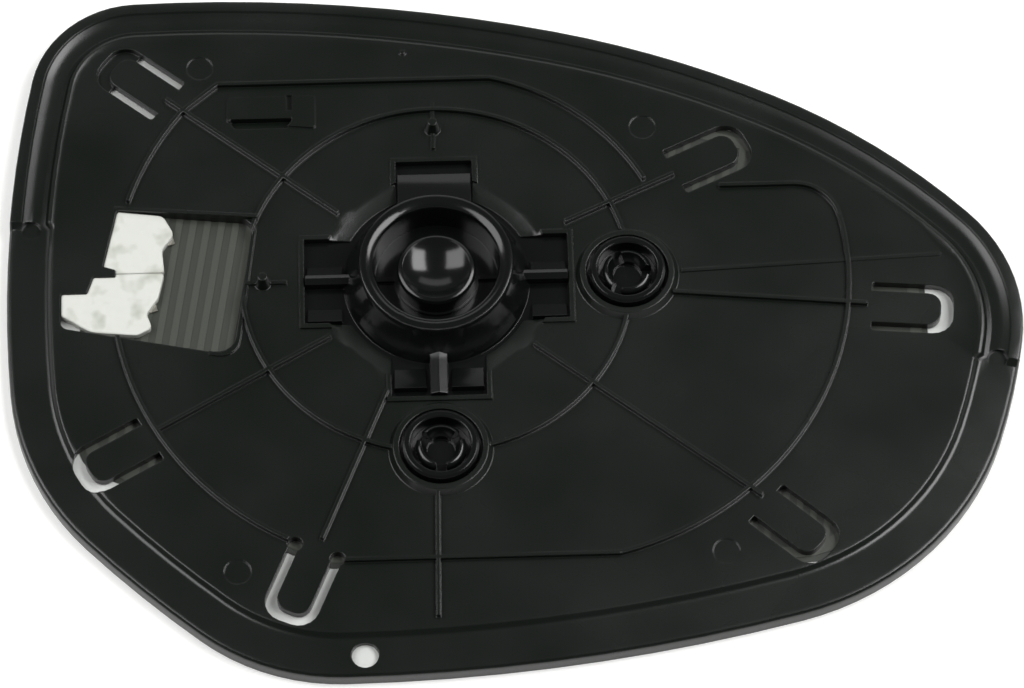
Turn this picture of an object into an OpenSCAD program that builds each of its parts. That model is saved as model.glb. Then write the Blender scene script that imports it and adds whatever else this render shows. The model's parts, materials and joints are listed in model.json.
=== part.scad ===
// Back of a left-hand door mirror glass: glass, heater film, moulded backing plate and snap-in sockets.
// It lies face down. X runs along the mirror, Y across it, and the adjuster side faces up.
// The origin is on the pivot axis, in the plane that the rim rests on.

/* [Outline] */
// Centre of the lower right sweep, along the mirror
sweep_x = 48.1; // [46.5:0.1:49.5]
// Centre of the lower right sweep, across the mirror
sweep_y = -16.1; // [-17.5:0.1:-14.5]
// Radius of the lower right sweep
lower_right_r = 51.1; // [49:0.1:54]
// Radius of the short right side
right_side_r = 110.5; // [100:0.5:130]
// Radius of the right tip
tip_r = 30; // [28:0.1:32]
// Radius of the slope down to the tip
upper_right_r = 118.5; // [112:0.5:124]
// Radius of the right half of the top
top_right_r = 181; // [172:1:190]
// Radius of the left half of the top
top_left_r = 271; // [260:0.5:285]
// Radius of the upper left corner
upper_left_r = 19; // [18:0.1:21]
// Radius of the lower left corner
lower_left_r = 47.4; // [45:0.1:50]
// Radius of the long slope down to the bottom
slope_r = 216.5; // [200:0.5:230]
// Radius of the corner left of the bottom
bottom_left_r = 38.8; // [37:0.1:42]

/* [Rim] */
// Height of the flange along the upper side over the rest plane
upper_flange_z = 3.9; // [3.6:0.1:4.2]
// Height of the band along the lower side over the rest plane
lower_band_z = 3; // [2.8:0.1:3.3]
// Width of the flange along the upper side
wide_flange = 2.1; // [1.9:0.1:2.3]
// Radius of the rounded outer edge along the lower side
edge_r = 1; // [0.8:0.1:1.2]
// Thickness of the wall round the edge of the glass
rim_wall = 1.4; // [1.2:0.1:1.6]
// Width of the whole rim
rim_w = 8.2; // [7.8:0.1:8.8]
// Rise of the narrow crest between the upper channel and the panel
upper_crest = 0.35; // [0.2:0.05:0.6]
// Thickness of the rim's shell over the glass, at its thinnest
rim_shell = 0.75; // [0.6:0.05:0.9]
// Diameter of the drain hole at the bottom
drain_d = 4.6; // [4:0.1:5]
// Diameter of the two blind drain pockets at the sides
pocket_d = 3.4; // [2.8:0.1:3.8]

/* [Glass and heater] */
// Thickness of the glass
glass_t = 1.8; // [1.6:0.1:2]
// How far the rim's foot stands proud of the glass
glass_recess = 0.3; // [0.2:0.05:0.4]
// Gap between the glass and the rim
glass_gap = 0.1; // [0.05:0.05:0.2]
// Thickness of the heater's carrier film
film_t = 0.15; // [0.1:0.05:0.25]
// Thickness of the printed tracks
track_t = 0.1; // [0.05:0.05:0.15]
// Distance from the edge of the film to its tracks
track_inset = 1; // [0.6:0.1:1.4]
// Width of one track finger
track_w = 1.2; // [0.8:0.1:1.5]
// Spacing of the fingers
track_pitch = 2.5; // [2.3:0.1:3]
// Lean of the fingers away from Y
track_lean = 9; // [6:0.5:12]
// Width of the bus track along the film's edge
bus_w = 2; // [1.5:0.1:2.5]

/* [Panel] */
// Thickness of the flat panel
panel_t = 1.55; // [1.4:0.05:1.8]
// Height of the ribs over the panel
rib_h = 0.9; // [0.6:0.1:1.2]
// Thickness of the ribs
rib_w = 0.7; // [0.6:0.1:1.1]
// Radius of the rib circle through the rod sockets
circle_r = 33.9; // [33.2:0.1:34.6]
// Radius of the left outer rib arc
left_arc_r = 56.3; // [55:0.1:57.5]
// Radius of the upper rib arc
upper_arc_r = 41.4; // [40.5:0.1:42]
// Radius of the right outer rib arc
right_arc_r = 55.8; // [55:0.1:56.6]
// Centre of the right outer rib arc, along the mirror
right_arc_x = 16; // [15:0.1:17]

/* [Tongues] */
// Width of a sprung tongue
tongue_w = 6.1; // [5.6:0.1:6.6]
// Length of a tongue's free arm
tongue_l = 12; // [11:0.5:13]
// Width of the slots beside a tongue
slot_w = 1.7; // [1.5:0.1:2]
// Width of the slot past a tongue's end
slot_end = 2.2; // [1.9:0.1:2.5]
// Radius of the relief holes at the roots of the lower tongue's slots
relief_r = 1.3; // [1:0.1:1.5]

/* [Pivot socket] */
// Radius of the round opening in the plate
opening_r = 20.4; // [20:0.1:21]
// Radius at the foot of the opening's sloping edge
moat_r = 17; // [16.8:0.1:18]
// How far the plate overlaps the sockets' flanges
lip = 1; // [0.8:0.1:1.3]
// Gap all round a snapped-in socket
fit_gap = 0.15; // [0.1:0.05:0.2]
// Thickness of the sockets' flanges
flange_t = 0.6; // [0.5:0.05:0.75]
// Height of the collar over the panel
collar_h = 6.6; // [6:0.1:7.2]
// Radius of the collar at its top
collar_r = 13.5; // [13.2:0.1:13.8]
// Radius of the collar at its foot
collar_foot_r = 16.2; // [15.8:0.1:16.6]
// Radius of the deep ring cavity, which takes the adjuster's pivot tube
cavity_r = 10.8; // [10.5:0.1:11.1]
// Radius of the central post
post_r = 6.9; // [6.6:0.1:7.2]
// Height of the central post over the panel
post_h = 4.2; // [3.8:0.1:4.6]
// Radius of the shallow ball seat in the post
ball_r = 9.5; // [9:0.1:11]
// Width of the panel left between a bay and a rod socket's boss
bay_wall = 1.2; // [1:0.1:1.6]
// Width of the left and right bays
side_bay_w = 16.6; // [15.5:0.1:17.5]
// Width of the upper bay
upper_bay_w = 13.4; // [12.5:0.1:14]
// Width of the lower bay
lower_bay_w = 16.4; // [15.5:0.1:17]
// Rise of the radial bars over the panel
bar_h = 1.4; // [1:0.1:1.8]

/* [Rod sockets] */
// Distance from the pivot axis to each rod socket
rod_reach = 33.2; // [32.8:0.1:33.6]
// Radius of the boss round a rod socket, at its foot
boss_r = 9; // [8.7:0.1:9.4]
// Height of the boss over the panel
boss_h = 1.2; // [1:0.1:1.5]
// Radius of the bore in the boss
boss_bore_r = 7.2; // [7.1:0.1:7.5]
// Outer radius of the socket's tube
tube_r = 6.6; // [6.4:0.1:6.7]
// Inner radius of the socket's tube
tube_bore_r = 5.2; // [5.1:0.1:5.4]
// Height of the tube over the panel
tube_h = 2.2; // [2:0.1:2.5]
// Outer radius of the three petals
petal_r = 4.3; // [4.2:0.1:4.5]
// Radius of the ball seat between the petals
rod_ball_r = 3.6; // [3.5:0.1:3.7]
// Width of the slits between the petals
slit_w = 1.8; // [1.4:0.1:2.2]

/* [Terminals] */
// Width of a terminal strip
terminal_w = 3.2; // [2.8:0.1:3.6]
// Thickness of a terminal strip
terminal_t = 0.3; // [0.25:0.05:0.4]
// Length of a terminal strip
terminal_l = 9; // [8:0.5:9.5]
// Height of the white compound over the film's tracks
potting_h = 1.25; // [1.1:0.05:1.4]
// Gap between the compound and the plate
potting_gap = 0.1; // [0.05:0.05:0.15]

/* [Hidden] */

$fn = 64;
PLATE = "#232724";
GLOSS = "#141716";
SILVER = "#c9cdcb";
FILM = "#53564f";
TRACK = "#6d706a";
TIN = "#b9bab4";
WHITE = "#ecebe6";

// Heights of the layers over the rest plane
film_z = glass_recess + glass_t;
track_z = film_z + film_t;
under_z = track_z + track_t;
panel_z = under_z + panel_t;
sunk_z = under_z + flange_t;
overlap = 0.5;
bay_reach = rod_reach - boss_r - bay_wall;

// Outward direction, in degrees, at the end of each arc of the outline, going round anticlockwise
FIRST_TURN = -76;
LEFT_NOTCH = 176.7;
RIGHT_NOTCH = -12;
TURNS = [-20, RIGHT_NOTCH, -10, 43, 63, 76, 92, 169, LEFT_NOTCH, 185, 224, 231, 270, 360 + FIRST_TURN];
// Which section of the rim each arc has: 1 is the upper one, with the wide flange
UPPER = [0, 0, 1, 1, 1, 1, 1, 1, 1, 0, 0, 0, 0, 0];
// The radii of the left side and the bottom follow from closing the loop
LEFT_ARCS = [8, 9];
BOTTOM_ARC = 13;
SET_RADII = [lower_right_r, right_side_r, right_side_r, tip_r, upper_right_r, top_right_r, top_left_r,
    upper_left_r, 0, 0, lower_left_r, slope_r, bottom_left_r, 0];
ARCS = [for (i = [0:len(TURNS) - 1]) i];

function dir(a) = [cos(a), sin(a)];
function flat_cross(a, b) = a[0] * b[1] - a[1] * b[0];
function total(list, i = 0) = i == len(list) - 1 ? list[i] : list[i] + total(list, i + 1);
function turn_start(i) = i == 0 ? FIRST_TURN : TURNS[i - 1];
function swing(i) = dir(TURNS[i]) - dir(turn_start(i));

set_sum = total([for (i = ARCS) SET_RADII[i] * swing(i)]);
left_swing = swing(LEFT_ARCS[0]) + swing(LEFT_ARCS[1]);
bottom_swing = swing(BOTTOM_ARC);
left_r = -flat_cross(set_sum, bottom_swing) / flat_cross(left_swing, bottom_swing);
bottom_r = -flat_cross(left_swing, set_sum) / flat_cross(left_swing, bottom_swing);
RADII = [for (i = ARCS) i == BOTTOM_ARC ? bottom_r : SET_RADII[i] == 0 ? left_r : SET_RADII[i]];

function arc_centre(i) = i == 0 ? [sweep_x, sweep_y]
    : arc_centre(i - 1) + (RADII[i - 1] - RADII[i]) * dir(TURNS[i - 1]);
CENTRES = [for (i = ARCS) arc_centre(i)];
left_x = CENTRES[LEFT_ARCS[0]][0] - left_r;

// Stations along the outline, close enough that a straight stretch leaves the arc by no more than the sag
sag = 0.03;
notch_run = 1.2;
function arc_length(i) = RADII[i] * (TURNS[i] - turn_start(i)) * PI / 180;
function steps(i) = max(1, ceil(arc_length(i) / sqrt(8 * RADII[i] * sag)));
function changes(i) = UPPER[i] != UPPER[(i + 1) % len(UPPER)];
function shares(i) = concat([for (k = [0:steps(i) - 1]) k / steps(i)],
    changes(i) ? [1 - notch_run / arc_length(i)] : []);
STATIONS = [for (i = ARCS) for (t = shares(i))
    [CENTRES[i], RADII[i], turn_start(i) + t * (TURNS[i] - turn_start(i)), UPPER[i]]];

function edge_point(s, inset) = s[0] + (s[1] - inset) * dir(s[2]);
function edge(inset) = [for (s = STATIONS) edge_point(s, inset)];

// Corners given as [x, y, radius], each turned into an arc of short steps
CORNER_STEPS = 5;
function unit(v) = v / norm(v);
function xy(p) = [p[0], p[1]];
function corner(before, at, after, r) =
    let (a = unit(before - at), b = unit(after - at), half = acos(a * b) / 2,
        reach = r / tan(half), middle = at + unit(a + b) * r / sin(half),
        from = at + a * reach - middle, to = at + b * reach - middle,
        sweep = 180 - 2 * half, way = flat_cross(from, to) > 0 ? 1 : -1)
    [for (k = [0:CORNER_STEPS]) let (t = way * sweep * k / CORNER_STEPS)
        middle + [from[0] * cos(t) - from[1] * sin(t), from[0] * sin(t) + from[1] * cos(t)]];
// Moves a loop's corners so that each side shifts sideways by the gap, to the left of its direction
function shifted(points, gap) = let (n = len(points)) [for (i = [0:n - 1])
    let (at = xy(points[i]), a = unit(at - xy(points[(i + n - 1) % n])),
        b = unit(xy(points[(i + 1) % n]) - at), side = [-a[1] - b[1], a[0] + b[0]])
    let (move = side * gap / (1 + a * b)) [at[0] + move[0], at[1] + move[1], points[i][2]]];
function rounded(points) = let (n = len(points)) [for (i = [0:n - 1])
    each corner(xy(points[(i + n - 1) % n]), xy(points[i]), xy(points[(i + 1) % n]), points[i][2])];

// Section of the rim as [distance from the edge, height]; both sections have the same number of points
glass_inset = rim_wall + glass_gap;
seat_w = 0.8;
upper_round = 0.5;
channel_z = film_z + rim_shell;
upper_top = panel_z + upper_crest;
over_all = panel_z + 3;
UPPER_SECTION = [
    [0, 0], [0, upper_flange_z - upper_round], [upper_round * 0.3, upper_flange_z - upper_round * 0.3],
    [upper_round, upper_flange_z], [wide_flange, upper_flange_z], [wide_flange + 0.25, upper_flange_z - 0.3],
    [wide_flange + 1, channel_z + 0.4], [rim_w - 4.2, channel_z + 0.1], [rim_w - 2.7, channel_z],
    [rim_w - 1.9, channel_z + 0.3], [rim_w - 1.4, upper_top - 0.1], [rim_w - 0.9, upper_top],
    [rim_w, panel_z], [rim_w + seat_w, panel_z], [rim_w + seat_w, under_z], [rim_w - 0.5, under_z],
    [rim_w - 1.2, film_z + 0.1], [rim_w - 1.8, film_z], [rim_w - 3.6, film_z],
    [glass_inset, film_z], [glass_inset, 0]];
LOWER_SECTION = [
    [0, 0], [0, lower_band_z - edge_r], [edge_r * 0.13, lower_band_z - edge_r * 0.5],
    [edge_r * 0.5, lower_band_z - edge_r * 0.13], [edge_r, lower_band_z], [wide_flange + 0.25, lower_band_z],
    [rim_w - 4.2, lower_band_z], [rim_w - 1.7, lower_band_z], [rim_w - 1.2, lower_band_z + 0.12],
    [rim_w - 0.9, lower_band_z + 0.35], [rim_w - 0.6, panel_z - 0.25], [rim_w - 0.35, panel_z - 0.07],
    [rim_w, panel_z], [rim_w + seat_w, panel_z], [rim_w + seat_w, under_z], [rim_w - 0.3, under_z],
    [rim_w - 0.8, film_z + 0.1], [rim_w - 1.4, film_z], [rim_w - 3.6, film_z],
    [glass_inset, film_z], [glass_inset, 0]];

module slab(from, to) {
    translate([0, 0, from]) linear_extrude(to - from) children();
}

module rim() {
    m = len(STATIONS);
    p = len(UPPER_SECTION);
    points = [for (s = STATIONS) for (q = s[3] == 1 ? UPPER_SECTION : LOWER_SECTION)
        let (e = edge_point(s, q[0])) [e[0], e[1], q[1]]];
    faces = [for (i = [0:m - 1]) for (j = [0:p - 1])
        let (a = i * p + j, b = i * p + (j + 1) % p,
            c = (i + 1) % m * p + j, d = (i + 1) % m * p + (j + 1) % p)
        each [[a, b, c], [b, d, c]]];
    polyhedron(points, faces);
}

// Terminal window in the plate, with the small finger that reaches in between the two terminals.
// It and all that lies in it are placed from the mirror's left edge.
WINDOW = [[19.2, 15.3, 0.6], [16.8, 4.2, 0.25], [18.9, 3.5, 0.25], [18.9, 2.2, 0.25], [15.1, 2.2, 0.4],
    [14, -1, 0.4], [9.5, -1, 0.4], [9.5, -7.8, 1.5], [39.6, -14, 3.4], [43.1, 12.7, 2.2]];
WINDOW_LIP = [[18.7, 15.7], [43.9, 12.9]];

// Rib layout. Straight ribs are [start, end]; the spokes are [direction, inner radius, outer radius]
SPOKES = [[141.5, 21.6, 60], [25, 25, 46.5], [-5.5, 41.2, 75], [-38.7, 21.3, 70], [-91, 41.5, 65],
    [-112.5, 23.5, 54], [210.2, 21.5, 56]];
right_arc_end = 10.9;
line_y = 40.1;
lower_line_y = -54;
corner_r = 8;

module rib_line(from, to, high = rib_h) {
    run = to - from;
    translate([from[0], from[1], panel_z - overlap]) rotate([0, 0, atan2(run[1], run[0])])
        translate([0, -rib_w / 2, 0]) cube([norm(run), rib_w, high + overlap]);
}

module rib_arc(centre, r, from, to) {
    translate([centre[0], centre[1], panel_z - overlap]) rotate_extrude(angle = to - from, start = from)
        translate([r - rib_w / 2, 0]) square([rib_w, rib_h + overlap]);
}

module ribs() {
    rib_arc([0, 0], circle_r, 0, 360);
    for (s = SPOKES) rib_line(s[1] * dir(s[0]), s[2] * dir(s[0]));
    rib_arc([0, 0], left_arc_r, 142, 162.6);
    rib_arc([0, 0], left_arc_r, 190, 242.5);
    rib_arc([0, 0], upper_arc_r, 27, asin(line_y / upper_arc_r));
    rib_line([-38, line_y], [sqrt(upper_arc_r ^ 2 - line_y ^ 2), line_y]);
    rib_line(left_arc_r * dir(142), [-38, line_y]);
    rib_line([-17, lower_line_y], [right_arc_x + sqrt(right_arc_r ^ 2 - lower_line_y ^ 2), lower_line_y]);
    rib_arc([right_arc_x, 0], right_arc_r, asin(lower_line_y / right_arc_r), right_arc_end);
    bend = [right_arc_x, 0] + (right_arc_r - corner_r) * dir(right_arc_end);
    rib_arc(bend, corner_r, right_arc_end, 90);
    rib_line([50, bend[1] + corner_r], [bend[0], bend[1] + corner_r]);
    rib_line([42.5, 0.4], [88, 2.4], 0.25);
}

// Lip along the window's upper edge, higher towards the right
module window_lip() {
    run = WINDOW_LIP[1] - WINDOW_LIP[0];
    translate([left_x + WINDOW_LIP[0][0], WINDOW_LIP[0][1], panel_z]) rotate([90, 0, atan2(run[1], run[0])])
        linear_extrude(rib_w, center = true)
            polygon([[0, -overlap], [norm(run), -overlap], [norm(run), 1.3], [0, 0.3]]);
}

// Six tongues as [x and y of the tip, direction]
TONGUES = [[-56, 44.6, 141.5], [53.2, 25.3, 25], [87.4, -8.6, -5], [64, -53.2, -42], [-26.3, -63.1, 247],
    [-60.2, -35.7, 210]];
RELIEVED = 4;
// The upper left tongue has a thin web under the slot round its tip
CLOSED_TIP = 0;

// Loop with one round end at the given reach, and the other end square
module bullet(reach, back, wide, r) {
    polygon(rounded([[reach, -wide / 2, r], [reach, wide / 2, r],
        [back, wide / 2, 0.5], [back, -wide / 2, 0.5]]));
}

// Moves the children to a tongue's tip, with X along its arm
module at_tip(t) {
    translate([t[0], t[1]]) rotate([0, 0, t[2]]) children();
}

module tongue_slot(t) {
    at_tip(t) difference() {
        bullet(slot_end, -tongue_l, tongue_w + 2 * slot_w, 3.6);
        bullet(0, -tongue_l - 1, tongue_w, 2.3);
    }
}

// The part of a slot that lies round the tongue's tip
module slot_tip(t) {
    intersection() {
        tongue_slot(t);
        at_tip(t) translate([-2, -tongue_w]) square([slot_end + 3, 2 * tongue_w]);
    }
}

module tongue_slots() {
    difference() {
        for (t = TONGUES) tongue_slot(t);
        slot_tip(TONGUES[CLOSED_TIP]);
    }
    at_tip(TONGUES[RELIEVED]) for (side = [-1, 1])
        translate([-tongue_l, side * (tongue_w + slot_w) / 2]) circle(relief_r);
}

// Round opening with four bays for the pivot socket's flange
module socket_opening(grow) {
    circle(opening_r + grow);
    socket_bays(grow);
}

module socket_bays(grow) {
    square([2 * (bay_reach + grow), side_bay_w + 2 * grow], center = true);
    translate([-upper_bay_w / 2 - grow, 0]) square([upper_bay_w + 2 * grow, bay_reach + 0.4 + grow]);
    translate([-lower_bay_w / 2 - grow, -bay_reach - grow])
        square([lower_bay_w + 2 * grow, bay_reach + grow]);
}

module bay_frames() {
    frame_w = 0.9;
    frame_h = 0.4;
    slab(panel_z - overlap, panel_z + frame_h) difference() {
        intersection() {
            union() {
                square([2 * (bay_reach + frame_w), side_bay_w + 2 * frame_w], center = true);
                translate([-upper_bay_w / 2 - frame_w, 0])
                    square([upper_bay_w + 2 * frame_w, bay_reach + 0.4 + frame_w]);
                translate([-lower_bay_w / 2 - frame_w, -bay_reach - frame_w])
                    square([lower_bay_w + 2 * frame_w, bay_reach + frame_w]);
            }
            circle(bay_reach + 6);
        }
        circle(opening_r - 0.5);
        socket_opening(0);
    }
}

ROD_SOCKETS = [[rod_reach, 0], [0, -rod_reach]];

module bosses() {
    for (s = ROD_SOCKETS) translate([s[0], s[1], panel_z - overlap])
        cylinder(r1 = boss_r + 0.3, r2 = boss_r - 0.8, h = boss_h + overlap);
}

// Pointer opposite each rod socket, with its thin fin along the radius
module pointers() {
    pointer_r = 30.2;
    for (turn = [90, 180]) rotate([0, 0, turn]) {
        translate([pointer_r, 0, panel_z - overlap]) cylinder(r1 = 1.5, r2 = 0.8, h = 2.6 + overlap);
        translate([26, -0.35, panel_z - overlap]) cube([9.6, 0.7, 0.5 + overlap]);
    }
}

// Raised hood at the upper left with a slot under its lower edge
HOOD = [[-36.3, 32.6, 0.6], [-20.6, 30.9, 0.6], [-20.6, 37.6, 0.6], [-36.3, 37.6, 0.6]];
HOOD_SLOT = [[-36, 33, 0.3], [-34.8, 31.2, 0.3], [-25.7, 31.2, 0.3], [-24.5, 33, 0.3]];
hood_h = 0.35;
HOOD_NICK = [-25.2, 34.6, 1, 3.2];

module ejector_marks() {
    for (p = [[-41, 43.8], [37, 29.5], [-35, -55.5], [48, -54]])
        translate([p[0], p[1], panel_z - 0.15]) cylinder(r = 2.3, h = 1);
}

module drains() {
    south = edge_point([CENTRES[BOTTOM_ARC], bottom_r, 270.6, 0], rim_w / 2 - 0.2);
    translate([south[0], south[1], film_z - 0.2]) cylinder(d = drain_d, h = over_all);
    for (i = [1, 8]) {
        side = edge_point([CENTRES[i], RADII[i], TURNS[i], 0], rim_w / 2 - 0.3);
        translate([side[0], side[1], film_z + 0.35]) cylinder(d = pocket_d, h = over_all);
    }
}

module backing_plate() {
    color(PLATE) difference() {
        union() {
            rim();
            difference() {
                union() {
                    slab(under_z, panel_z) polygon(edge(rim_w + seat_w / 2));
                    ribs();
                    window_lip();
                    slab(panel_z - overlap, panel_z + 0.3) translate([left_x, 0]) intersection() {
                        polygon(rounded(shifted(WINDOW, -rib_w)));
                        translate([WINDOW[0][0] + 16, -20]) square(40);
                    }
                    translate([-5, 46, panel_z - overlap]) cylinder(r1 = 0.8, r2 = 0.5, h = overlap + 0.3);
                    bosses();
                    bay_frames();
                    pointers();
                    slab(panel_z - overlap, panel_z + hood_h) polygon(rounded(HOOD));
                }
                slab(under_z - 1, panel_z + 5) {
                    translate([left_x, 0]) polygon(rounded(WINDOW));
                    socket_bays(0);
                }
                slab(panel_z - 1.1, panel_z + 5) {
                    polygon(rounded(HOOD_SLOT));
                    slot_tip(TONGUES[CLOSED_TIP]);
                }
                rotate_extrude() polygon([[0, 0], [moat_r, 0], [moat_r, sunk_z + 0.25],
                    [opening_r - 0.9, panel_z - 0.35], [opening_r, panel_z], [opening_r, panel_z + 5],
                    [0, panel_z + 5]]);
                slab(under_z - 1, sunk_z + 0.05) socket_opening(lip + fit_gap);
                for (s = ROD_SOCKETS) translate([s[0], s[1], 0]) {
                    translate([0, 0, under_z - 1]) cylinder(r = boss_bore_r, h = panel_t + boss_h + 2);
                    translate([0, 0, under_z - 1]) cylinder(r = boss_bore_r + lip, h = 1 + flange_t + 0.05);
                }
                translate([HOOD_NICK[0] - HOOD_NICK[2] / 2, HOOD_NICK[1], panel_z - 0.4])
                    cube([HOOD_NICK[2], HOOD_NICK[3], hood_h + 2]);
                ejector_marks();
            }
        }
        slab(film_z - 0.2, over_all) tongue_slots();
        drains();
    }
}

bar_w = 1.9;

// Block along X with the given [y, z] profile
module wedge(wide, profile) {
    translate([-wide / 2, 0, 0]) rotate([90, 0, 90]) linear_extrude(wide) polygon(profile);
}

// Latches: a ramp that falls away above the collar, two blocks below it, two shelves on each side
module latches() {
    ramp_end = bay_reach - 2.3;
    wedge(upper_bay_w - 0.6, [[collar_r, under_z], [collar_r, panel_z + 2.9],
        [collar_foot_r + 2.1, panel_z + 1], [ramp_end, panel_z + 0.6], [ramp_end, under_z]]);
    block_w = (lower_bay_w - post_bar_w) / 2 - 1.2;
    outer = 1.4 - bay_reach;
    inner = -collar_foot_r - 1;
    for (side = [-1, 1]) translate([side * (post_bar_w / 2 + 0.7 + block_w / 2), 0, 0])
        wedge(block_w, [[outer, under_z], [outer, panel_z + 0.7], [inner, panel_z - 0.9], [inner, under_z]]);
    low = 0.3 - side_bay_w / 2;
    high = bar_w / 2 + 2.3;
    near = collar_foot_r + 0.3;
    wide = bay_reach - 0.5 - near;
    for (side = [-1, 1]) translate([side * (near + wide / 2), 0, 0]) {
        wedge(wide, [[0, under_z], [0, panel_z + 0.8], [high, panel_z - 0.5], [high, under_z]]);
        wedge(wide, [[low, under_z], [low, panel_z + 0.4], [low + 2.9, panel_z - 0.6], [low + 2.9, under_z]]);
    }
}

// Bell-shaped collar, ring cavity and central post, revolved about the pivot axis
post_bar_w = 3;
module pivot_socket() {
    top = panel_z + collar_h;
    floor_z = sunk_z + 0.7;
    post_top = panel_z + post_h;
    web_top = panel_z + 0.5;
    color(GLOSS) difference() {
        union() {
            slab(under_z, sunk_z) socket_opening(lip);
            latches();
            rotate_extrude() polygon([[0, under_z], [collar_foot_r, under_z], [collar_foot_r, sunk_z],
                [collar_foot_r - 0.4, panel_z], [collar_r + 1, panel_z + collar_h * 0.36],
                [collar_r + 0.2, top - 2], [collar_r, top - 0.6], [collar_r - 0.3, top - 0.15],
                [collar_r - 0.9, top], [cavity_r + 1, top - 0.1], [cavity_r + 0.3, top - 0.6],
                [cavity_r, top - 1.4], [cavity_r, floor_z], [post_r + 0.4, floor_z],
                [post_r + 0.4, web_top], [post_r, web_top], [post_r, post_top - 0.7],
                [post_r - 0.3, post_top - 0.2], [post_r - 0.7, post_top],
                [0, post_top]]);
            for (side = [0, 180]) rotate([0, 0, side])
                translate([post_r - 0.5, -0.45, sunk_z])
                    cube([cavity_r - post_r + 1, 0.9, web_top - 0.1 - sunk_z]);
            for (bar = [[0, bar_w], [180, bar_w], [270, post_bar_w]]) rotate([0, 0, bar[0]])
                translate([(collar_r + bay_reach - fit_gap) / 2, 0, 0])
                    wedge(bay_reach - fit_gap - collar_r, [[-bar[1] / 2, under_z], [bar[1] / 2, under_z],
                        [bar[1] / 2, panel_z + bar_h * 0.6], [0, panel_z + bar_h],
                        [-bar[1] / 2, panel_z + bar_h * 0.6]]);
        }
        translate([0, 0, post_top + sqrt(ball_r ^ 2 - (post_r - 1) ^ 2)]) sphere(ball_r);
    }
}

// One rod socket: flange, tube and three petals round a ball seat
module rod_socket(outward) {
    top = panel_z + tube_h;
    petal_top = top - 0.6;
    floor_z = under_z + 0.9;
    color(GLOSS) difference() {
        union() {
            translate([0, 0, under_z]) cylinder(r = boss_bore_r + lip - fit_gap, h = flange_t);
            rotate_extrude() polygon([[0, under_z], [tube_r, under_z], [tube_r, top - 0.4],
                [tube_r - 0.4, top], [tube_bore_r + 0.2, top], [tube_bore_r, top - 0.2],
                [tube_bore_r, floor_z], [petal_r, floor_z], [petal_r, petal_top - 0.6],
                [petal_r - 0.35, petal_top - 0.15], [petal_r - 0.7, petal_top], [0, petal_top]]);
        }
        translate([0, 0, petal_top + 0.9]) sphere(rod_ball_r);
        translate([0, 0, under_z + 0.5]) cylinder(r = rod_ball_r - 1.1, h = tube_h);
        for (turn = [0, 120, 240]) rotate([0, 0, outward + turn])
            translate([0, -slit_w / 2, floor_z]) cube([petal_r + 0.2, slit_w, tube_h + panel_t]);
    }
}

module right_rod_socket() {
    translate([rod_reach, 0, 0]) rod_socket(0);
}

module lower_rod_socket() {
    translate([0, -rod_reach, 0]) rod_socket(-90);
}

module mirror_glass() {
    color(SILVER) slab(glass_recess, film_z) polygon(edge(glass_inset + glass_gap));
}

// The film leaves the edge of the glass bare, more so at the upper left.
// X is taken from the mirror's left edge.
FILM_SHAPE = [[12.8, 19, 6], [12.8, -34, 6], [54.8, -54.5, 6], [143.8, -56, 14], [159.8, -28, 16],
    [159.8, 8, 14], [136.8, 26, 12], [94.8, 40, 12], [33.8, 37.5, 8]];

film_edge = rim_w - 0.4;

// The film's area less a border, kept off the mirror's edge
module film_area(border) {
    intersection() {
        translate([left_x, 0]) polygon(rounded(shifted(FILM_SHAPE, border)));
        polygon(edge(film_edge + border));
    }
}

module heater_film() {
    color(FILM) slab(film_z, track_z) film_area(0);
}

// Two combs of tracks whose fingers lie between each other; side is 1 for the upper comb
finger_x = 40.5;
finger_gap = 2;
COMB_SPLIT = -8;
module comb(side) {
    across = max([for (p = FILM_SHAPE) norm(xy(p))]);
    color(TRACK) slab(track_z, under_z) {
        intersection() {
            difference() {
                film_area(track_inset);
                film_area(track_inset + bus_w);
            }
            translate([left_x - across, side == 1 ? COMB_SPLIT + 1 : COMB_SPLIT - 1 - across])
                square([2 * across, across]);
        }
        for (k = [-9:44]) if (abs(k) % 2 == (side == 1 ? 0 : 1)) intersection() {
            film_area(track_inset + 0.5);
            translate([left_x + finger_x + k * track_pitch, 0]) rotate([0, 0, -track_lean])
                translate([-track_w / 2, -across]) square([track_w, 2 * across]);
            translate([0, side * finger_gap]) film_area(track_inset + bus_w);
        }
    }
}

module upper_comb() {
    comb(1);
}

module lower_comb() {
    comb(-1);
}

// White compound over each terminal, kept to the window, and the strip that it covers
UPPER_POTTING = [[12.8, 16, 0.5], [12.8, 2.85, 0.5], [27.5, 2.85, 0.6], [27.1, 7.4, 1.2], [29.2, 10.4, 1.4],
    [27.3, 14.1, 1.8]];
LOWER_POTTING = [[7.8, 2.75, 0.5], [7.8, -4, 0.5], [14.8, -8.6, 4], [22.8, -9.4, 1.6], [25.4, -8, 1],
    [24.4, -5.2, 0.9], [26.4, -2.2, 1.3], [27.5, 2.75, 0.5]];
UPPER_STRIP = [28.9, 10.6, 15];
LOWER_STRIP = [25.9, -2.6, 15];

module strip(place, grow) {
    translate([left_x + place[0], place[1], under_z]) rotate([0, 0, place[2]])
        translate([-terminal_l - grow, -terminal_w / 2 - grow, 0])
            cube([terminal_l + 2 * grow, terminal_w + 2 * grow, terminal_t + grow]);
}

module potting(outline, place) {
    color(WHITE) difference() {
        slab(under_z, under_z + potting_h) translate([left_x, 0]) intersection() {
            polygon(rounded(shifted(WINDOW, potting_gap)));
            polygon(rounded(outline));
        }
        translate([0, 0, -0.01]) strip(place, 0.02);
    }
}

module upper_terminal() {
    color(TIN) strip(UPPER_STRIP, 0);
}

module lower_terminal() {
    color(TIN) strip(LOWER_STRIP, 0);
}

module upper_potting() {
    potting(UPPER_POTTING, UPPER_STRIP);
}

module lower_potting() {
    potting(LOWER_POTTING, LOWER_STRIP);
}

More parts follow.
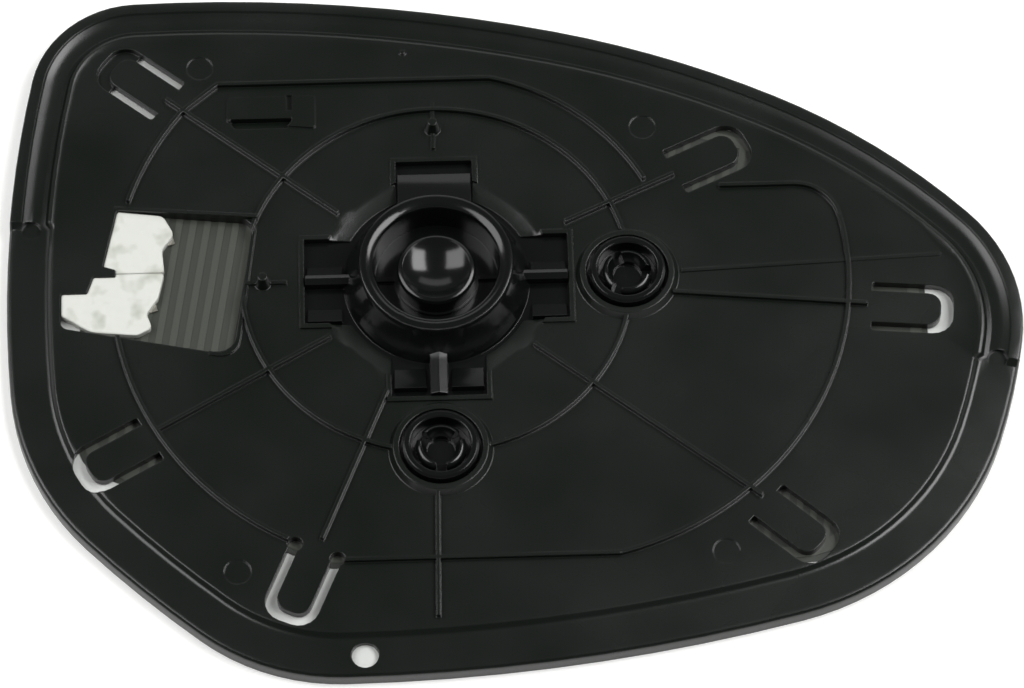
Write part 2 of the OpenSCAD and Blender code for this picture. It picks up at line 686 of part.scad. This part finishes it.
backing_plate();
pivot_socket();
right_rod_socket();
lower_rod_socket();
mirror_glass();
heater_film();
upper_comb();
lower_comb();
upper_terminal();
lower_terminal();
upper_potting();
lower_potting();
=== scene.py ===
# Looks of a door mirror glass that lies face down: materials, smooth mouldings and a small studio

import json
import math

import bmesh
import bpy
from bpy.props import FloatProperty, FloatVectorProperty, PointerProperty
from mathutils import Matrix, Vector

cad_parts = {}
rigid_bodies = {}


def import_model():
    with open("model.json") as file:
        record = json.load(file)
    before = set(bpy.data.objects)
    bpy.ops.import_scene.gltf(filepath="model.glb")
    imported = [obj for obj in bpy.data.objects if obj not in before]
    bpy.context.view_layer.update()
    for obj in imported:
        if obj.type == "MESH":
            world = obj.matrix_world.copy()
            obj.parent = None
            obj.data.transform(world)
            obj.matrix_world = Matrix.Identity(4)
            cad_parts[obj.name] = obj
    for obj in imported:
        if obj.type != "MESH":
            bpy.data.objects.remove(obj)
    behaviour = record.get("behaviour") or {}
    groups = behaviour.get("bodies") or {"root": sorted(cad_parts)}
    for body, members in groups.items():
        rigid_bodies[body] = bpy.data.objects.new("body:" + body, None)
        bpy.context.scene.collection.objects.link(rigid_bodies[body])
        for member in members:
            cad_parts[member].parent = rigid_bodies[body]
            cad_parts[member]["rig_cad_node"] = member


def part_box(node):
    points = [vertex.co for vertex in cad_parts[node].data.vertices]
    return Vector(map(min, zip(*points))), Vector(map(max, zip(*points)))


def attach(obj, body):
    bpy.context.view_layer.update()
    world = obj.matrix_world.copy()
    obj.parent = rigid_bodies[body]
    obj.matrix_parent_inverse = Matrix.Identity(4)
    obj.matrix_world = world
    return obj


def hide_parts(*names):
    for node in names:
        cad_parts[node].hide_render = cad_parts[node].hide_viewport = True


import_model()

bl_info = {
    "name": "Door Mirror Glass",
    "version": (1, 0, 0),
    "blender": (4, 5, 0),
    "location": "View3D > Sidebar > Mirror Glass",
    "description": "Dresses the packed mirror glass, its backing plate and its sockets",
    "category": "Object",
}

MM = 0.001
WHOLE = "root"

# The photograph's view: the angle it looks from, its width, and how far its middle is off the pivot
VIEW_AZIMUTH = math.radians(-1.7)
VIEW_ELEVATION = math.radians(62)
VIEW_DISTANCE = 1.0
VIEW_WIDTH = 178.2 * MM
VIEW_RIGHT = 13.14 * MM
VIEW_DOWN = 11.3 * MM
SENSOR = 36.0
# Height of the plate's flat panel over the foot of the compound in its window
PANEL_HEIGHT = 1.55 * MM

# Angles above which an edge of the sockets and of the glass stays sharp
SOCKET_CREASE = math.radians(30)
GLASS_CREASE = math.radians(20)
# Points that differ by less than this are one point
MERGE_GAP = 0.001 * MM
# Upright share of a normal above which a face of the glass belongs to its back
FACES_UP = 0.5

# Places and sizes of the lamps, in metres, and the left lamp's share of a side lamp's power
LEFT_LAMP = ((-0.66, 0.06, 0.8), (0.7, 0.7))
LEFT_SHARE = 0.7
RIGHT_LAMP = ((0.6, 0.05, 0.83), (0.8, 0.5))
FAR_LAMP = ((0.05, 0.86, 0.66), (1.0, 0.32))
# Upward share of a direction below which the walls are white, and above which the sky is dim
HORIZON_LOW = 0.08
HORIZON_HIGH = 0.22


def colour(hex_text):
    """Linear colour and alpha of an sRGB hex value such as #1b1f1c."""
    parts = [int(hex_text[i : i + 2], 16) / 255 for i in (1, 3, 5)]
    linear = [p / 12.92 if p <= 0.04045 else ((p + 0.055) / 1.055) ** 2.4 for p in parts]
    return (*linear, 1.0)


def add_node(tree, kind, settings=None, links=None):
    """A node with its settings, and with links from the sockets that feed its inputs."""
    node = tree.nodes.new(kind)
    for name, value in (settings or {}).items():
        if isinstance(name, str) and hasattr(node, name):
            setattr(node, name, value)
        else:
            node.inputs[name].default_value = value
    for name, source in (links or {}).items():
        tree.links.new(source, node.inputs[name])
    return node


def new_material(name):
    """An empty node material and its tree."""
    material = bpy.data.materials.new(name)
    material.use_nodes = True
    material.node_tree.nodes.clear()
    return material, material.node_tree


def finish_material(tree, shader):
    """Feeds the shader to the surface output."""
    add_node(tree, "ShaderNodeOutputMaterial", links={"Surface": shader.outputs[0]})


def object_coordinates(tree):
    """The place on the piece, in metres."""
    return add_node(tree, "ShaderNodeTexCoord").outputs["Object"]


def grain(tree, size, detail=2.0, where=None):
    """Noise whose lumps are about size metres across."""
    return add_node(
        tree,
        "ShaderNodeTexNoise",
        {"Scale": 1 / size, "Detail": detail, "Roughness": 0.55},
        {"Vector": where or object_coordinates(tree)},
    )


def plate_plastic(settings):
    # Impact-modified ABS, injection moulded in a finely eroded tool: near black and satin, greyish
    # at a slant
    material, tree = new_material("black_moulded_abs")
    where = object_coordinates(tree)
    # Eroded texture about 0.12 mm across; drawn at 0.25 mm so that it shows
    texture = grain(tree, 0.25 * MM, 3.0, where)
    # Flow and handling marks, a few centimetres long
    clouds = grain(tree, 24 * MM, 3.0, where)
    # Edges have a small radius from the mould
    edge = add_node(tree, "ShaderNodeBevel", {"samples": 6, "Radius": settings.edge_radius})
    bump = add_node(
        tree,
        "ShaderNodeBump",
        {"Strength": 0.18, "Distance": 0.03 * MM},
        {"Height": texture.outputs["Fac"], "Normal": edge.outputs["Normal"]},
    )
    tint = add_node(
        tree,
        "ShaderNodeMix",
        {"data_type": "RGBA", 6: settings.plate_colour, 7: settings.plate_worn},
        {0: clouds.outputs["Fac"]},
    )
    rough = add_node(
        tree,
        "ShaderNodeMapRange",
        {"From Min": 0.3, "From Max": 0.7, "To Min": 0.22, "To Max": 0.29},
        {"Value": clouds.outputs["Fac"]},
    )
    shader = add_node(
        tree,
        "ShaderNodeBsdfPrincipled",
        {"IOR": 1.54},
        {
            "Base Color": tint.outputs[2],
            "Roughness": rough.outputs[0],
            "Normal": bump.outputs["Normal"],
        },
    )
    finish_material(tree, shader)
    return material


def socket_plastic(settings):
    # Acetal, moulded in a polished tool: deep black with clear reflections
    material, tree = new_material("polished_black_acetal")
    edge = add_node(tree, "ShaderNodeBevel", {"samples": 6, "Radius": settings.edge_radius})
    waves = grain(tree, 3 * MM)
    bump = add_node(
        tree,
        "ShaderNodeBump",
        {"Strength": 0.12, "Distance": 0.05 * MM},
        {"Height": waves.outputs["Fac"], "Normal": edge.outputs["Normal"]},
    )
    shader = add_node(
        tree,
        "ShaderNodeBsdfPrincipled",
        {"Base Color": settings.socket_colour, "Roughness": 0.16, "IOR": 1.48},
        {"Normal": bump.outputs["Normal"]},
    )
    finish_material(tree, shader)
    return material


def mirror_coating():
    # Sputtered chrome on float glass: a clean mirror
    material, tree = new_material("chromed_float_glass")
    shader = add_node(
        tree,
        "ShaderNodeBsdfPrincipled",
        {"Base Color": colour("#c9cfcf"), "Metallic": 1.0, "Roughness": 0.02},
    )
    finish_material(tree, shader)
    return material


def glass_back(settings):
    # Back of the coated glass under its protective lacquer: pale grey and slightly glossy
    material, tree = new_material("lacquered_glass_back")
    haze = grain(tree, 6 * MM)
    tint = add_node(
        tree,
        "ShaderNodeMix",
        {"data_type": "RGBA", 6: settings.back_colour, 7: colour("#dcdedb")},
        {0: haze.outputs["Fac"]},
    )
    shader = add_node(
        tree,
        "ShaderNodeBsdfPrincipled",
        {"Roughness": 0.3, "IOR": 1.5},
        {"Base Color": tint.outputs[2]},
    )
    finish_material(tree, shader)
    return material


def film_material(settings):
    # Polyester carrier film with a grey print: satin
    material, tree = new_material("printed_polyester_film")
    shader = add_node(
        tree,
        "ShaderNodeBsdfPrincipled",
        {"Base Color": settings.film_colour, "Roughness": 0.42, "IOR": 1.6},
    )
    finish_material(tree, shader)
    return material


def track_material(settings):
    # Screen-printed carbon paste under a clear lacquer: lighter grey, its surface slightly wavy
    material, tree = new_material("printed_carbon_track")
    waves = grain(tree, 1.5 * MM)
    bump = add_node(
        tree,
        "ShaderNodeBump",
        {"Strength": 0.4, "Distance": 0.08 * MM},
        {"Height": waves.outputs["Fac"]},
    )
    shader = add_node(
        tree,
        "ShaderNodeBsdfPrincipled",
        {"Base Color": settings.track_colour, "Roughness": 0.38, "IOR": 1.6},
        {"Normal": bump.outputs["Normal"]},
    )
    finish_material(tree, shader)
    return material


def tinned_brass():
    # Brass strip, rolled and tinned: dull silver
    material, tree = new_material("tinned_brass_strip")
    rolled = grain(tree, 0.6 * MM)
    rough = add_node(
        tree,
        "ShaderNodeMapRange",
        {"To Min": 0.28, "To Max": 0.45},
        {"Value": rolled.outputs["Fac"]},
    )
    shader = add_node(
        tree,
        "ShaderNodeBsdfPrincipled",
        {"Base Color": colour("#b9b6ad"), "Metallic": 1.0},
        {"Roughness": rough.outputs[0]},
    )
    finish_material(tree, shader)
    return material


def potting_material(settings):
    # Silicone compound, poured and cured: white with greyer patches at random, soft sheen, rounded
    # lumps
    material, tree = new_material("cured_white_silicone")
    lumps = grain(tree, 3 * MM, 1.0)
    # Surface tension rounds the edges
    edge = add_node(tree, "ShaderNodeBevel", {"samples": 6, "Radius": 0.6 * MM})
    bump = add_node(
        tree,
        "ShaderNodeBump",
        {"Strength": 0.7, "Distance": 0.6 * MM},
        {"Height": lumps.outputs["Fac"], "Normal": edge.outputs["Normal"]},
    )
    # Greyer patches placed at random, from noise about 4.5 mm across
    patchy = add_node(
        tree,
        "ShaderNodeMapRange",
        {"From Min": 0.54, "From Max": 0.74},
        {"Value": grain(tree, 4.5 * MM).outputs["Fac"]},
    )
    tint = add_node(
        tree,
        "ShaderNodeMix",
        {"data_type": "RGBA", 6: settings.potting_colour, 7: settings.potting_patchy},
        {0: patchy.outputs[0]},
    )
    shader = add_node(
        tree,
        "ShaderNodeBsdfPrincipled",
        {"Roughness": 0.45, "IOR": 1.41},
        {"Base Color": tint.outputs[2], "Normal": bump.outputs["Normal"]},
    )
    finish_material(tree, shader)
    return material


def node_object(name):
    """The frame's object of a CAD node."""
    return next(o for o in bpy.context.scene.objects if o.get("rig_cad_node") == name)


def paint(name, material):
    """Puts one material on all the slots of a CAD node's object."""
    for slot in node_object(name).material_slots:
        slot.material = material


def smooth_copy(name, new_name, material, crease):
    """A merged copy of a CAD node, shaded smooth between creases, which replaces the node."""
    mesh = node_object(name).data.copy()
    mesh.name = new_name
    shape = bmesh.new()
    shape.from_mesh(mesh)
    bmesh.ops.remove_doubles(shape, verts=shape.verts, dist=MERGE_GAP)
    for face in shape.faces:
        face.smooth = True
    shape.to_mesh(mesh)
    shape.free()
    if "custom_normal" in mesh.attributes:
        mesh.attributes.remove(mesh.attributes["custom_normal"])
    mesh.set_sharp_from_angle(angle=crease)
    mesh.materials.clear()
    mesh.materials.append(material)
    piece = bpy.data.objects.new(new_name, mesh)
    bpy.context.scene.collection.objects.link(piece)
    # Large faces stay flat, and only the small faces round an edge bend the light
    even = piece.modifiers.new("even_shading", "WEIGHTED_NORMAL")
    even.mode = "FACE_AREA"
    even.weight = 50
    even.keep_sharp = True
    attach(piece, WHOLE)
    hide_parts(name)
    return piece


class PlateSettings(bpy.types.PropertyGroup):
    plate_colour: FloatVectorProperty(
        name="Plate",
        description="Colour of the moulded plate",
        subtype="COLOR",
        size=4,
        min=0,
        max=1,
        default=colour("#0b110c"),
    )
    plate_worn: FloatVectorProperty(
        name="Plate, greyed",
        description="Colour of the plate's paler patches",
        subtype="COLOR",
        size=4,
        min=0,
        max=1,
        default=colour("#101511"),
    )
    crease: FloatProperty(
        name="Crease",
        description="Angle between two faces above which their edge stays sharp",
        subtype="ANGLE",
        default=math.radians(24),
        min=0,
        max=math.pi,
    )
    edge_radius: FloatProperty(
        name="Edge radius",
        description="Radius that the mould gives the plate's edges",
        unit="LENGTH",
        subtype="DISTANCE",
        default=0.3 * MM,
        min=0,
        max=1 * MM,
    )


class SocketSettings(bpy.types.PropertyGroup):
    socket_colour: FloatVectorProperty(
        name="Sockets",
        description="Colour of the snap-in sockets",
        subtype="COLOR",
        size=4,
        min=0,
        max=1,
        default=colour("#0e100f"),
    )
    edge_radius: FloatProperty(
        name="Edge radius",
        description="Radius of the sockets' edges",
        unit="LENGTH",
        subtype="DISTANCE",
        default=0.2 * MM,
        min=0,
        max=1 * MM,
    )


class GlassSettings(bpy.types.PropertyGroup):
    back_colour: FloatVectorProperty(
        name="Glass back",
        description="Colour of the glass's lacquered back",
        subtype="COLOR",
        size=4,
        min=0,
        max=1,
        default=colour("#cfd1ce"),
    )


class HeaterSettings(bpy.types.PropertyGroup):
    film_colour: FloatVectorProperty(
        name="Film",
        description="Colour of the carrier film",
        subtype="COLOR",
        size=4,
        min=0,
        max=1,
        default=colour("#343731"),
    )
    track_colour: FloatVectorProperty(
        name="Tracks",
        description="Colour of the printed tracks",
        subtype="COLOR",
        size=4,
        min=0,
        max=1,
        default=colour("#464942"),
    )
    potting_colour: FloatVectorProperty(
        name="Compound",
        description="Colour of the compound over the terminals",
        subtype="COLOR",
        size=4,
        min=0,
        max=1,
        default=colour("#dadcd5"),
    )
    # Colour of the compound's greyer patches, which lie at random
    potting_patchy: FloatVectorProperty(
        name="Compound, thin",
        description="Colour of the compound where it is thin",
        subtype="COLOR",
        size=4,
        min=0,
        max=1,
        default=colour("#b9bcb1"),
    )


class StageSettings(bpy.types.PropertyGroup):
    floor_size: FloatProperty(
        name="Floor",
        description="Width of the floor",
        unit="LENGTH",
        subtype="DISTANCE",
        default=6.0,
        min=1,
        max=20,
    )
    side_power: FloatProperty(
        name="Side lamps",
        description="Power of each side lamp",
        subtype="POWER",
        default=9.0,
        min=0,
        max=100,
    )
    back_power: FloatProperty(
        name="Far lamp",
        description="Power of the lamp beyond the mirror",
        subtype="POWER",
        default=0.9,
        min=0,
        max=100,
    )
    sky: FloatProperty(
        name="Sky",
        description="Brightness of the soft light from above",
        default=0.08,
        min=0,
        max=3,
    )


class MIRROR_OT_plate(bpy.types.Operator):
    """Smooths and colours the moulded backing plate"""

    bl_idname = "mirror.plate"
    bl_label = "Backing Plate"

    def execute(self, context):
        settings = context.scene.mirror_plate
        material = plate_plastic(settings)
        smooth_copy("backing_plate", "moulded_plate", material, settings.crease)
        return {"FINISHED"}


class MIRROR_OT_sockets(bpy.types.Operator):
    """Smooths and colours the pivot socket and the two rod sockets"""

    bl_idname = "mirror.sockets"
    bl_label = "Sockets"

    def execute(self, context):
        material = socket_plastic(context.scene.mirror_sockets)
        for name in ("pivot_socket", "right_rod_socket", "lower_rod_socket"):
            smooth_copy(name, name + "_moulding", material, SOCKET_CREASE)
        return {"FINISHED"}


class MIRROR_OT_glass(bpy.types.Operator):
    """Gives the glass its mirror in front and its lacquered back"""

    bl_idname = "mirror.glass"
    bl_label = "Mirror Glass"

    def execute(self, context):
        piece = smooth_copy(
            "mirror_glass", "coated_glass", mirror_coating(), GLASS_CREASE
        )
        piece.data.materials.append(glass_back(context.scene.mirror_glass))
        for face in piece.data.polygons:
            face.material_index = 1 if face.normal.z > FACES_UP else 0
        return {"FINISHED"}


class MIRROR_OT_heater(bpy.types.Operator):
    """Colours the heater film, its tracks, its terminals and the compound over them"""

    bl_idname = "mirror.heater"
    bl_label = "Heater"

    def execute(self, context):
        settings = context.scene.mirror_heater
        paint("heater_film", film_material(settings))
        tracks = track_material(settings)
        tin = tinned_brass()
        potting = potting_material(settings)
        for side in ("upper", "lower"):
            paint(side + "_comb", tracks)
            paint(side + "_terminal", tin)
            paint(side + "_potting", potting)
        return {"FINISHED"}


def aim(thing, target):
    """Turns a lamp or camera to look at a point."""
    thing.rotation_mode = "QUATERNION"
    thing.rotation_quaternion = (Vector(target) - thing.location).to_track_quat("-Z", "Y")


def add_lamp(name, place, size, power, target):
    """A soft rectangular lamp that looks at a point."""
    data = bpy.data.lights.new(name, "AREA")
    data.shape = "RECTANGLE"
    data.size, data.size_y = size
    data.energy = power
    lamp = bpy.data.objects.new(name, data)
    bpy.context.scene.collection.objects.link(lamp)
    lamp.location = place
    aim(lamp, target)


def seen_straight_or_in_gloss(tree):
    """1 for rays from the camera and for those mirrored or let through by a surface, else 0."""
    path = add_node(tree, "ShaderNodeLightPath")
    seen = path.outputs["Is Camera Ray"]
    for name in ("Is Glossy Ray", "Is Transmission Ray"):
        seen = add_node(
            tree, "ShaderNodeMath", {"operation": "MAXIMUM"}, {0: seen, 1: path.outputs[name]}
        ).outputs[0]
    return seen


def floor_material():
    # Seamless paper, matt white. The camera, gloss and glass see it lifted to white, with the
    # object's shadow kept
    material, tree = new_material("white_seamless_paper")
    paper = add_node(
        tree, "ShaderNodeBsdfPrincipled", {"Base Color": colour("#e9e9e7"), "Roughness": 0.8}
    )
    glow = add_node(tree, "ShaderNodeEmission", {"Color": colour("#ffffff"), "Strength": 0.35})
    both = add_node(tree, "ShaderNodeAddShader", links={0: paper.outputs[0], 1: glow.outputs[0]})
    mixed = add_node(
        tree,
        "ShaderNodeMixShader",
        links={0: seen_straight_or_in_gloss(tree), 1: paper.outputs[0], 2: both.outputs[0]},
    )
    finish_material(tree, mixed)
    return material


def make_world(settings):
    """Soft light from all round: white at the horizon, like far paper walls, and dim above."""
    world = bpy.data.worlds.new("studio")
    bpy.context.scene.world = world
    world.use_nodes = True
    tree = world.node_tree
    tree.nodes.clear()
    where = add_node(tree, "ShaderNodeTexCoord").outputs["Generated"]
    height = add_node(tree, "ShaderNodeSeparateXYZ", links={0: where}).outputs["Z"]
    glow = add_node(
        tree,
        "ShaderNodeMapRange",
        {
            "From Min": HORIZON_LOW,
            "From Max": HORIZON_HIGH,
            "To Min": 1.0,
            "To Max": settings.sky,
        },
        {"Value": height},
    ).outputs[0]
    sky = add_node(tree, "ShaderNodeBackground", {"Color": colour("#ffffff")}, {"Strength": glow})
    add_node(tree, "ShaderNodeOutputWorld", links={"Surface": sky.outputs[0]})


def make_camera():
    """The photograph's camera, from its angle, its width of view and the point in its middle."""
    a, e = VIEW_AZIMUTH, VIEW_ELEVATION
    right = Vector((math.cos(a), math.sin(a), 0))
    forward = Vector((-math.sin(a) * math.cos(e), math.cos(a) * math.cos(e), -math.sin(e)))
    up = right.cross(forward)
    window_low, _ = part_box("upper_potting")
    panel = Vector((0, 0, window_low.z + PANEL_HEIGHT))
    middle = panel + right * VIEW_RIGHT - up * VIEW_DOWN
    data = bpy.data.cameras.new("photo_camera")
    data.sensor_width = SENSOR
    data.lens = SENSOR * VIEW_DISTANCE / VIEW_WIDTH
    data.clip_start, data.clip_end = 0.05, 20
    camera = bpy.data.objects.new("photo_camera", data)
    bpy.context.scene.collection.objects.link(camera)
    camera.location = middle - forward * VIEW_DISTANCE
    aim(camera, middle)
    bpy.context.scene.camera = camera
    return middle


class MIRROR_OT_stage(bpy.types.Operator):
    """Sets the floor, the lamps, the soft light all round and the camera"""

    bl_idname = "mirror.stage"
    bl_label = "Studio"

    def execute(self, context):
        settings = context.scene.mirror_stage
        context.scene.view_settings.view_transform = "Standard"
        middle = make_camera()
        shape = bmesh.new()
        bmesh.ops.create_grid(shape, x_segments=1, y_segments=1, size=settings.floor_size / 2)
        mesh = bpy.data.meshes.new("floor")
        shape.to_mesh(mesh)
        shape.free()
        mesh.materials.append(floor_material())
        floor = bpy.data.objects.new("floor", mesh)
        context.scene.collection.objects.link(floor)
        make_world(settings)
        add_lamp("left_lamp", *LEFT_LAMP, LEFT_SHARE * settings.side_power, middle)
        add_lamp("right_lamp", *RIGHT_LAMP, settings.side_power, middle)
        add_lamp("far_lamp", *FAR_LAMP, settings.back_power, middle)
        return {"FINISHED"}


class MIRROR_PT_panel(bpy.types.Panel):
    """Lists the pieces and the studio of the mirror glass"""

    bl_idname = "MIRROR_PT_panel"
    bl_label = "Mirror Glass"
    bl_space_type = "VIEW_3D"
    bl_region_type = "UI"
    bl_category = "Mirror Glass"

    def draw(self, context):
        scene = context.scene
        for operator, settings in PARTS:
            box = self.layout.box()
            box.operator(operator.bl_idname)
            if settings is not None:
                group = getattr(scene, settings)
                for name in group.__annotations__:
                    box.prop(group, name)


PARTS = (
    (MIRROR_OT_plate, "mirror_plate"),
    (MIRROR_OT_sockets, "mirror_sockets"),
    (MIRROR_OT_glass, "mirror_glass"),
    (MIRROR_OT_heater, "mirror_heater"),
    (MIRROR_OT_stage, "mirror_stage"),
)
GROUPS = {
    "mirror_plate": PlateSettings,
    "mirror_sockets": SocketSettings,
    "mirror_glass": GlassSettings,
    "mirror_heater": HeaterSettings,
    "mirror_stage": StageSettings,
}


def register():
    for name, group in GROUPS.items():
        bpy.utils.register_class(group)
        setattr(bpy.types.Scene, name, PointerProperty(type=group))
    for operator, _ in PARTS:
        bpy.utils.register_class(operator)
    bpy.utils.register_class(MIRROR_PT_panel)


def unregister():
    bpy.utils.unregister_class(MIRROR_PT_panel)
    for operator, _ in reversed(PARTS):
        bpy.utils.unregister_class(operator)
    for name, group in reversed(GROUPS.items()):
        delattr(bpy.types.Scene, name)
        bpy.utils.unregister_class(group)


def main():
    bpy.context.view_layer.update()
    register()
    bpy.ops.mirror.plate()
    bpy.ops.mirror.sockets()
    bpy.ops.mirror.glass()
    bpy.ops.mirror.heater()
    bpy.ops.mirror.stage()


if __name__ == "__main__":
    main()
